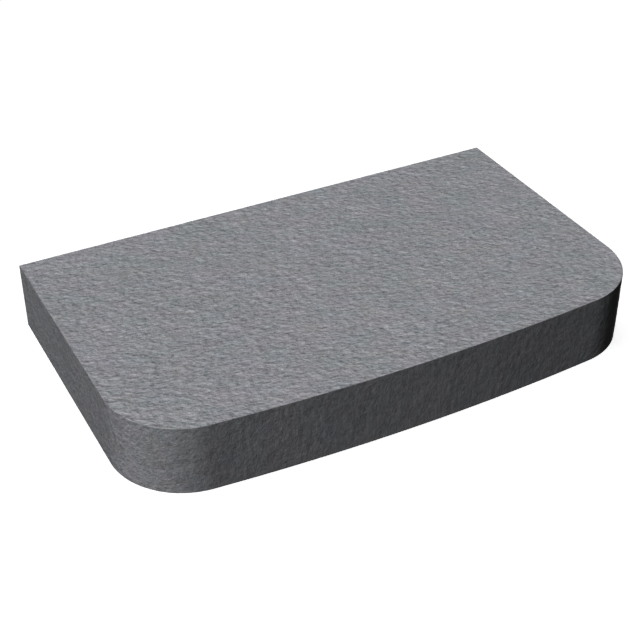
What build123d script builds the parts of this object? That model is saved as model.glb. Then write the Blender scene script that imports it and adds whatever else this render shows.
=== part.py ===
from build123d import *
import os

# Tooling slab: one block of granite, sawn to thickness and shaped by hand at the front.
#
# Frame: the origin is the middle of the underside. +X runs along the width, +Y towards
# the straight back edge and +Z up to the working face. The bowed front edge is at -Y.

# Driving dimensions, in millimetres.
slab_width = 381.0  # left side to right side, 15 in
slab_depth = 228.6  # middle of the bowed front to the back edge, 9 in
slab_thickness = 50.8  # underside to working face, 2 in
corner_radius = 52.7  # the two rounded front corners
front_bow = 11.2  # how far the front arc stands out over the whole width
arris_width = 0.2  # sharp edges just taken off, so that they neither chip nor cut the leather

# Outline, worked out from the driving dimensions.
half_width = slab_width / 2
front_y = -slab_depth / 2
back_y = slab_depth / 2
bow_radius = (half_width**2 + front_bow**2) / (2 * front_bow)
bow_centre_y = front_y + bow_radius

# Each front corner is an arc that is tangent to the side and to the bowed front.
corner_centre_x = half_width - corner_radius
centre_distance = bow_radius - corner_radius
corner_centre_y = bow_centre_y - (centre_distance**2 - corner_centre_x**2) ** 0.5
reach = bow_radius / centre_distance
joint_x = corner_centre_x * reach
joint_y = bow_centre_y + (corner_centre_y - bow_centre_y) * reach

os.makedirs("parts", exist_ok=True)

# The block: straight back, square back corners, straight sides, rounded front corners
# and a shallow outward bow along the front. It is solid stone all the way through.
with BuildPart() as granite_slab:
    with BuildSketch(Plane.XY):
        with BuildLine():
            front = ThreePointArc((-joint_x, joint_y), (0, front_y), (joint_x, joint_y))
            right_corner = TangentArc(front @ 1, (half_width, corner_centre_y), tangent=front % 1)
            right_side = Line(right_corner @ 1, (half_width, back_y))
            back = Line(right_side @ 1, (-half_width, back_y))
            left_side = Line(back @ 1, (-half_width, corner_centre_y))
            TangentArc(left_side @ 1, front @ 0, tangent=left_side % 1)
        make_face()
    extrude(amount=slab_thickness)

    # The arris runs round both faces and down the two square back corners.
    face_edges = granite_slab.edges().filter_by(Plane.XY)
    back_corners = granite_slab.edges().filter_by(Axis.Z).group_by(Axis.Y)[-1]
    chamfer(face_edges + back_corners, length=arris_width)

granite_slab.part.label = "granite_slab"
export_step(granite_slab.part, "parts/granite_slab.step")
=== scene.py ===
from math import atan2, cos, pi, radians, sin, sqrt

import bpy
import numpy as np
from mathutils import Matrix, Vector


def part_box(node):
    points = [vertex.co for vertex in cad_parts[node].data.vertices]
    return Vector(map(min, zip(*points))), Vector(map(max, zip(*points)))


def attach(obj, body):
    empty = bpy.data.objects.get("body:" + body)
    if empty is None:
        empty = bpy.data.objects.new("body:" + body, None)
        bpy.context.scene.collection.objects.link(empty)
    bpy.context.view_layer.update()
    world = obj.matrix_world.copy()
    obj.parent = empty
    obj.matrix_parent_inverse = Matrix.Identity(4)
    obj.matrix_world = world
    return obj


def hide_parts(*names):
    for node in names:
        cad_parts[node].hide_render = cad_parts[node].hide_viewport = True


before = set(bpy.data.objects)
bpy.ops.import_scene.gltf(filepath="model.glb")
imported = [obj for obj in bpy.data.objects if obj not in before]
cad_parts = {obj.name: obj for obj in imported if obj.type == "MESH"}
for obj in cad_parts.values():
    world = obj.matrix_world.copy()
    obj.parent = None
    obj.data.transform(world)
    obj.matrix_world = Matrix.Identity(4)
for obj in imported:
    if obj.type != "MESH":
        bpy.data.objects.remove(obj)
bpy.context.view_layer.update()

# --- The slab ---------------------------------------------------------------------------
# One block of grey granite, and the only piece there is. It is sawn to thickness, shaped
# by hand at the front, and brushed to a leathered finish, which is matt and softly
# rippled. It lies on the bench by its own weight.

low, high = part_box("granite_slab")
half_width = high.x
front_y, back_y = low.y, high.y
thickness = high.z
corner_radius = 0.0527
front_bow = 0.0112  # how far the front stands out in the middle
arris = 0.0002  # the narrow flat that eases each edge

# The front is one shallow arc, and each front corner is an arc tangent to it and the side.
bow_radius = (half_width**2 + front_bow**2) / (2 * front_bow)
bow_y = front_y + bow_radius
corner_x = half_width - corner_radius
corner_y = bow_y - sqrt((bow_radius - corner_radius) ** 2 - corner_x**2)
joint_angle = atan2(corner_y - bow_y, corner_x)
mirror = np.array([-1.0, 1.0])

# The mesh is one net over the working face, with rings of points below it round the walls.
cell = 0.00115
wall_cell = 0.00175
columns = round(2 * half_width / cell)
rows = round((back_y - front_y) / cell)
wall_rows = round(thickness / wall_cell)


def arc(x, y, radius, start, end, count=400):
    """Close points along an arc from one angle to another."""
    angles = np.linspace(start, end, count)
    return np.column_stack([x + radius * np.cos(angles), y + radius * np.sin(angles)])


def evenly(line, count):
    """The same line in a number of equal steps."""
    along = np.concatenate([[0.0], np.cumsum(np.hypot(*np.diff(line, axis=0).T))])
    wanted = np.linspace(0.0, along[-1], count + 1)
    return np.column_stack([np.interp(wanted, along, line[:, k]) for k in range(2)])


def outline(inset):
    """Four runs round the slab: front, right, back and left. The front corners are halved."""
    radius = corner_radius - inset
    half_corner = joint_angle / 2
    half_front = np.concatenate([
        arc(0.0, bow_y, bow_radius - inset, -pi / 2, joint_angle),
        arc(corner_x, corner_y, radius, joint_angle, half_corner)[1:],
    ])
    back_right = np.array([half_width - inset, back_y - inset])
    right = np.concatenate([arc(corner_x, corner_y, radius, half_corner, 0.0), [back_right]])
    right = evenly(right, rows)
    front = evenly(np.concatenate([half_front[::-1] * mirror, half_front[1:]]), columns)
    back = evenly(np.array([back_right * mirror, back_right]), columns)
    return front, right, back, right * mirror


def ring_of(front, right, back, left):
    """The runs joined into one ring, anticlockwise from the left front corner."""
    return np.concatenate([front[:-1], right[:-1], back[:0:-1], left[:0:-1]])


# The working face is a net stretched between the four runs.
front, right, back, left = outline(arris)
across = np.linspace(0.0, 1.0, columns + 1)[:, None, None]
along = np.linspace(0.0, 1.0, rows + 1)[None, :, None]
net = (1 - along) * front[:, None] + along * back[:, None]
net += (1 - across) * left[None] + across * right[None]
net -= (1 - across) * ((1 - along) * front[0] + along * back[0])
net -= across * ((1 - along) * front[-1] + along * back[-1])

# The ripples of the brushed finish are many small waves laid over each other. Brushing
# draws them out, slantwise on the working face and up and down on the front wall.
wave_count = 420
shortest_wave, longest_wave = 0.0042, 0.060
middle_wave = 0.012
wave_height = 0.000043  # root mean square of an octave of waves about the middle length
steepening = 1.0  # shorter waves stand higher, by this power of their length,
lowest_share, highest_share = 0.36, 2.8  # within these shares of wave_height
face_drawn = 1.6
brush_turn = radians(-12)
front_drawn = 1.8
front_depth, side_depth = 0.30, 0.78  # shares of the height that the ripples have on the face
plain_rim = 0.0014  # where the ripples die down towards an arris
chance = np.random.default_rng(11)
octaves = np.log2(longest_wave / shortest_wave)
wave_lengths = shortest_wave * 2.0 ** (octaves * chance.random(wave_count))
wave_ways = chance.normal(size=(wave_count, 3))
wave_ways /= np.linalg.norm(wave_ways, axis=1)[:, None]
wave_starts = 2 * pi * chance.random(wave_count)
wave_steps = 2 * pi * wave_ways / wave_lengths[:, None]
wave_heights = wave_height * sqrt(2 * octaves / wave_count)
wave_heights *= np.clip((middle_wave / wave_lengths) ** steepening, lowest_share, highest_share)


def ripples(points):
    """How high the ripples stand at places in the stone."""
    total = np.zeros(len(points))
    for step, start, height in zip(wave_steps, wave_starts, wave_heights):
        total += height * np.cos(points @ step + start)
    return total


def rise(edge):
    """From 0 at an arris to 1 where the ripples have their full height."""
    share = np.clip(edge / plain_rim, 0.0, 1.0)
    return share * share * (3 - 2 * share)


step_in = np.minimum(np.arange(columns + 1), np.arange(columns, -1, -1))[:, None]
step_up = np.minimum(np.arange(rows + 1), np.arange(rows, -1, -1))[None, :]
face_edge = (np.minimum(step_in, step_up) * cell).ravel()
face_xy = net.reshape(-1, 2)
brush_axes = np.array([
    [cos(brush_turn), -sin(brush_turn)],
    [sin(brush_turn), cos(brush_turn)],
])
brushed_xy = face_xy @ brush_axes / (face_drawn, 1.0)
face_ripple = ripples(np.column_stack([brushed_xy, np.full(len(face_xy), thickness)]))
face_points = np.column_stack([face_xy, thickness + face_ripple * rise(face_edge)])

# Round the walls each square back corner is cut by the arris, so it takes two points.
turn_right = columns + rows
turn_left = turn_right + columns
twice = np.insert(np.arange(turn_left + rows), [turn_right, turn_left], [turn_right, turn_left])
wall_xy = ring_of(*outline(0.0))[twice]
wall_xy[turn_right] = half_width, back_y - arris
wall_xy[turn_right + 1] = half_width - arris, back_y
wall_xy[turn_left + 1] = arris - half_width, back_y
wall_xy[turn_left + 2] = -half_width, back_y - arris
run = np.roll(wall_xy, -1, axis=0) - np.roll(wall_xy, 1, axis=0)
outward = np.column_stack([run[:, 1], -run[:, 0]])
outward /= np.linalg.norm(outward, axis=1)[:, None]

# How many points along the ring each one is from the nearer cut corner.
place_in_ring = np.arange(len(wall_xy))
from_right = abs(place_in_ring - turn_right - 0.5)
from_left = abs(place_in_ring - turn_left - 1.5)
from_turn = np.minimum(from_right, from_left) - 0.5

# The front wall and the front of its corners are smoother than the other walls.
facing_front = outward[:, 1] < 0
sideways = np.where(facing_front, abs(outward[:, 0]), 1.0)
depth = front_depth + (side_depth - front_depth) * sideways
drawn = front_drawn + (1.0 - front_drawn) * sideways

wall_points = []
wall_ripple = []
wall_edge = []
for z in np.linspace(thickness - arris, arris, wall_rows + 1):
    rim_distance = min(thickness - arris - z, z - arris)
    nearest = np.minimum(from_turn * cell, rim_distance)
    ripple = ripples(np.column_stack([wall_xy, z / drawn]))
    push = (depth * ripple * rise(nearest))[:, None]
    wall_points.append(np.column_stack([wall_xy + outward * push, np.full(len(wall_xy), z)]))
    wall_ripple.append(ripple)
    wall_edge.append(np.full(len(wall_xy), rim_distance))
under_xy = ring_of(*outline(arris))
under_points = np.column_stack([under_xy, np.zeros(len(under_xy))])

# Rings of point numbers from the working face down the walls to the underside.
numbers = np.arange(len(face_points)).reshape(columns + 1, rows + 1)
rim = np.concatenate([numbers[:-1, 0], numbers[-1, :-1], numbers[:0:-1, -1], numbers[0, :0:-1]])
under = np.arange(len(under_points)) + len(face_points) + len(wall_xy) * (wall_rows + 1)
rings = [rim[twice]]
rings += [place_in_ring + len(face_points) + len(wall_xy) * row for row in range(wall_rows + 1)]
rings += [under[twice]]

quads = np.stack([numbers[:-1, :-1], numbers[1:, :-1], numbers[1:, 1:], numbers[:-1, 1:]], axis=-1)
faces = quads.reshape(-1, 4).tolist()
for upper, lower in zip(rings[:-1], rings[1:]):
    for corners in zip(upper, lower, np.roll(lower, -1), np.roll(upper, -1)):
        faces.append([int(point) for point in dict.fromkeys(corners)])
faces.append(under[::-1].tolist())

mesh = bpy.data.meshes.new("granite_block")
points = np.concatenate([face_points, *wall_points, under_points])
mesh.from_pydata(points.tolist(), [], faces)
mesh.shade_smooth()
mesh.set_sharp_from_angle(angle=radians(30))
granite_block = bpy.data.objects.new("granite_block", mesh)
bpy.context.collection.objects.link(granite_block)

under_ripple = np.zeros(len(under_points))
under_edge = np.full(len(under_points), arris)
heights = mesh.attributes.new("ripple_height", "FLOAT", "POINT")
heights.data.foreach_set("value", np.concatenate([face_ripple, *wall_ripple, under_ripple]))
edges = mesh.attributes.new("edge_distance", "FLOAT", "POINT")
edges.data.foreach_set("value", np.concatenate([face_edge, *wall_edge, under_edge]))


class Shade:
    """A value of a material. Python's operators on it add Math nodes."""

    def __init__(self, tree, socket=None):
        self.tree = tree
        self.socket = socket

    def node(self, kind, settings, sockets, output=0):
        """Adds one node: its settings, then the values or links of its sockets."""
        made = self.tree.nodes.new(kind)
        for name, value in settings.items():
            setattr(made, name, value)
        for name, value in sockets.items():
            if isinstance(value, Shade):
                self.tree.links.new(value.socket, made.inputs[name])
            else:
                made.inputs[name].default_value = value
        return Shade(self.tree, made.outputs[output] if len(made.outputs) else None)

    def math(self, operation, first, second):
        return self.node("ShaderNodeMath", {"operation": operation}, {0: first, 1: second})

    def size(self):
        return self.node("ShaderNodeMath", {"operation": "ABSOLUTE"}, {0: self})

    def at_least(self, least):
        return self.math("MAXIMUM", self, least)

    def above(self, limit):
        """1 where the value is over a limit, and 0 elsewhere."""
        return self.math("GREATER_THAN", self, limit)

    def __add__(self, other):
        return self.math("ADD", self, other)

    def __radd__(self, other):
        return self.math("ADD", other, self)

    def __sub__(self, other):
        return self.math("SUBTRACT", self, other)

    def __rsub__(self, other):
        return self.math("SUBTRACT", other, self)

    def __mul__(self, other):
        return self.math("MULTIPLY", self, other)

    def __rmul__(self, other):
        return self.math("MULTIPLY", other, self)


# The stone: a cool grey that drifts between green and mauve, with fine crystals, dark flecks of
# painted shade for small hollows, painted light on the ripples' crests and painted shade in their
# troughs, and a duller line along each arris, darkened by painted shade.
green_grey = (0.2406, 0.2520, 0.2630, 1.0)
mauve_grey = (0.2486, 0.2470, 0.2670, 1.0)
tints_per_metre = 60.0
tint_spread = (0.029, 0.015, 0.013)
drift_size, streak_size, mottle_size = 0.03, 0.007, 0.004
patch_size, dent_size, hollow_shade_size = 0.0028, 0.0022, 0.0021
crystal_size, grain_size = 0.0013, 0.0011

granite = bpy.data.materials.new("grey_granite")
granite.use_nodes = True
granite.node_tree.nodes.clear()
stone = Shade(granite.node_tree)
place = stone.node("ShaderNodeTexCoord", {}, {}, "Object")
facing = stone.node("ShaderNodeNewGeometry", {}, {}, "Normal")

# How much the stone faces sideways, with the back wall as a side, and how level it is.
behind = stone.node("ShaderNodeSeparateXYZ", {}, {"Vector": facing}, "Y").above(0.0)
side = stone.node("ShaderNodeSeparateXYZ", {}, {"Vector": facing}, "X").size().at_least(behind)
level = stone.node("ShaderNodeSeparateXYZ", {}, {"Vector": facing}, "Z").size()

# The places in the stone, drawn out in the way that it is brushed.
on_face = stone.node(
    "ShaderNodeMapping", {"vector_type": "TEXTURE"},
    {"Vector": place, "Rotation": (0.0, 0.0, brush_turn), "Scale": (face_drawn, 1.0, 1.0)},
)
upright = 1 / front_drawn + (1 - 1 / front_drawn) * side
squeeze = stone.node("ShaderNodeCombineXYZ", {}, {"X": 1.0, "Y": 1.0, "Z": upright})
on_wall = stone.node("ShaderNodeVectorMath", {"operation": "MULTIPLY"}, {0: place, 1: squeeze})
brushed = stone.node(
    "ShaderNodeMix", {"data_type": "VECTOR"}, {0: level, 4: on_wall, 5: on_face}, 1
)


def cloud(size, where=place, detail=1.0):
    """Soft noise about 0 in patches of one size and some smaller ones."""
    made = stone.node(
        "ShaderNodeTexNoise", {}, {"Vector": where, "Scale": 1 / size, "Detail": detail}
    )
    return made - 0.5


height = stone.node("ShaderNodeAttribute", {"attribute_name": "ripple_height"}, {}, "Fac")
edge = stone.node("ShaderNodeAttribute", {"attribute_name": "edge_distance"}, {}, "Fac")
on_arris = stone.node(
    "ShaderNodeMapRange", {"interpolation_type": "SMOOTHSTEP"},
    {"Value": edge, "From Min": 0.0, "From Max": arris / 2, "To Min": 1.0, "To Max": 0.0},
)
cells = stone.node(
    "ShaderNodeTexVoronoi", {}, {"Vector": place, "Scale": 1 / crystal_size}, "Color"
)
crystals = stone.node("ShaderNodeSeparateColor", {}, {"Color": cells}, "Red") - 0.5
drift = cloud(drift_size)

# How light the stone is, as a share of its plain colour.
plain_tone = 1.004
drift_tone, streak_tone, patch_tone = 0.08, 0.09, 0.28
crystal_tone, hollow_shade_tone, arris_shade = 0.10, 0.95, 0.30
# Painted light on the crests of the ripples and painted shade in their troughs, by the ripple
# height.
ripple_light_and_shade = 36.0  # for each metre that a ripple stands up
# Dark flecks of painted shade stand for small hollows, and are fainter on the walls than on the
# face.
hollow_shade_start = -0.06
wall_hollow_shade = 0.45  # how dark they are on the walls, as a share
hollow_shade = (hollow_shade_start - cloud(hollow_shade_size, brushed)).at_least(0.0)
hollow_shade = hollow_shade * (wall_hollow_shade + (1 - wall_hollow_shade) * level)
tone = plain_tone + drift_tone * drift + streak_tone * cloud(streak_size, brushed)
tone = tone + patch_tone * cloud(patch_size, brushed, 2.0) + crystal_tone * crystals
# Painted shade darkens the hollows, the ripples' troughs and each arris, and painted light lifts
# the crests.
tone = tone - hollow_shade_tone * hollow_shade + ripple_light_and_shade * height - arris_shade * on_arris

# Its hue drifts between the two greys, and leans a little more from place to place.
mauve_swing = 0.6
mauve_share = 0.5 + mauve_swing * drift
base_grey = stone.node(
    "ShaderNodeMix", {"data_type": "RGBA"}, {0: mauve_share, 6: green_grey, 7: mauve_grey}, 2
)
tints = stone.node(
    "ShaderNodeTexNoise", {},
    {"Vector": brushed, "Scale": tints_per_metre, "Detail": 4.0, "Roughness": 0.7}, "Color",
)
centred = stone.node(
    "ShaderNodeVectorMath", {"operation": "SUBTRACT"}, {0: tints, 1: (0.5, 0.5, 0.5)}
)
lean = stone.node("ShaderNodeVectorMath", {"operation": "MULTIPLY"}, {0: centred, 1: tint_spread})
hue = stone.node("ShaderNodeVectorMath", {"operation": "ADD"}, {0: base_grey, 1: lean})
colour = stone.node("ShaderNodeVectorMath", {"operation": "SCALE"}, {"Vector": hue, "Scale": tone})

# The stone is matt, a little more so on the arrises than elsewhere.
plain_roughness, mottle_roughness = 0.80, 0.14
crystal_roughness, arris_roughness = 0.08, 0.10
roughness = plain_roughness + mottle_roughness * cloud(mottle_size, detail=2.0)
roughness = roughness + crystal_roughness * crystals + arris_roughness * on_arris

# Dents too fine for the mesh, shallower on the walls as the ripples are, and finer grain.
dent_depth, grain_depth = 0.00064, 0.00016
wall_depth = front_depth + (side_depth - front_depth) * side
depth_here = wall_depth + (1.0 - wall_depth) * level
fine = dent_depth * cloud(dent_size, brushed) * depth_here + grain_depth * cloud(grain_size)
dents = stone.node("ShaderNodeBump", {}, {"Strength": 1.0, "Distance": 1.0, "Height": fine})
surface = stone.node(
    "ShaderNodeBsdfPrincipled", {},
    {"Base Color": colour, "Roughness": roughness, "Normal": dents, "IOR": 1.5},
)
stone.node("ShaderNodeOutputMaterial", {}, {"Surface": surface})
mesh.materials.append(granite)

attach(granite_block, "root")
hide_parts("granite_slab")

# --- The bench sheet ----------------------------------------------------------------------
# A large white sheet that the slab lies on. It glows a little, which keeps the shadow
# faint, and it is left out of the light thrown back onto the stone.

sheet_reach = 60.0
sheet_glow = 0.80
square = (-1, -1), (1, -1), (1, 1), (-1, 1)
sheet_corners = [(x * sheet_reach, y * sheet_reach, 0.0) for x, y in square]
sheet_mesh = bpy.data.meshes.new("bench_sheet")
sheet_mesh.from_pydata(sheet_corners, [], [(0, 1, 2, 3)])
bench_sheet = bpy.data.objects.new("bench_sheet", sheet_mesh)
bpy.context.collection.objects.link(bench_sheet)
white = bpy.data.materials.new("white_sheet")
white.use_nodes = True
white.node_tree.nodes.clear()
sheet = Shade(white.node_tree)
sheet_surface = sheet.node(
    "ShaderNodeBsdfPrincipled", {},
    {
        "Base Color": (0.9, 0.9, 0.9, 1.0), "Roughness": 0.9, "Specular IOR Level": 0.0,
        "Emission Color": (1.0, 1.0, 1.0, 1.0), "Emission Strength": sheet_glow,
    },
)
sheet.node("ShaderNodeOutputMaterial", {}, {"Surface": sheet_surface})
sheet_mesh.materials.append(white)
bench_sheet.visible_diffuse = False
bench_sheet.visible_glossy = False

# --- The lights ----------------------------------------------------------------------------
# One key lamp from the front left shapes the slab. A wide light from behind and below,
# which the sheet doesn't stop, lifts the walls that turn away from the key. A wide tent
# lights the sheet alone, and leaves a faint shadow on it.

stone_only = bpy.data.collections.new("stone_only")
stone_only.objects.link(granite_block)
sheet_only = bpy.data.collections.new("sheet_only")
sheet_only.objects.link(bench_sheet)


def lamp(name, azimuth, elevation, strength, softness, colour, receivers, blockers):
    """An even light from far off, which falls only on some things. Its angles are in degrees."""
    light = bpy.data.lights.new(name, "SUN")
    light.energy = strength
    light.angle = radians(softness)
    light.color = colour
    made = bpy.data.objects.new(name, light)
    bpy.context.collection.objects.link(made)
    turn, lift = radians(azimuth), radians(elevation)
    towards = Vector((cos(turn) * cos(lift), sin(turn) * cos(lift), sin(lift)))
    made.rotation_euler = towards.to_track_quat("Z", "Y").to_euler()
    made.light_linking.receiver_collection = receivers
    made.light_linking.blocker_collection = blockers


warm_white = (1.0, 0.9875, 0.961)
plain_white = (1.0, 1.0, 1.0)
lamp("key", -147.5, 50.8, 8.40, 6.0, warm_white, stone_only, stone_only)
lamp("low_back", 52.0, -32.0, 5.6, 60.0, warm_white, stone_only, stone_only)
lamp("tent", 0.0, 90.0, 0.63, 150.0, plain_white, sheet_only, stone_only)

# The room gives a little light from all round, and the camera sees it as a white backdrop.
room_fill = 0.07
backdrop_level = 1.02
studio = bpy.data.worlds.new("studio")
studio.use_nodes = True
studio.node_tree.nodes.clear()
room = Shade(studio.node_tree)
path = room.node("ShaderNodeLightPath", {}, {}, "Is Camera Ray")
room_level = room_fill + (backdrop_level - room_fill) * path
room_light = room.node(
    "ShaderNodeBackground", {}, {"Color": (1.0, 1.0, 1.0, 1.0), "Strength": room_level}
)
room.node("ShaderNodeOutputWorld", {}, {"Surface": room_light})
bpy.context.scene.world = studio

# --- The camera ----------------------------------------------------------------------------
# It stands at the front left of the slab and looks down on it through a long lens, with
# the slab a little off the middle of the frame.

camera_turn = radians(-27.61)
camera_lift = radians(35.09)
camera_distance = 0.9366
camera_slide = Vector((-0.01104, -0.00988, 0.0))  # in its own view, right and up
middle = Vector((0.0, 0.0, thickness / 2))
out = cos(camera_lift)
away = Vector((sin(camera_turn) * out, -cos(camera_turn) * out, sin(camera_lift)))
aim = away.to_track_quat("Z", "Y")
lens = bpy.data.cameras.new("camera")
lens.lens = 74.88
lens.sensor_width = 36.0
camera = bpy.data.objects.new("camera", lens)
bpy.context.collection.objects.link(camera)
camera.rotation_mode = "QUATERNION"
camera.rotation_quaternion = aim
camera.location = middle + camera_distance * away + aim @ camera_slide
bpy.context.scene.camera = camera
bpy.context.scene.view_settings.view_transform = "Raw"
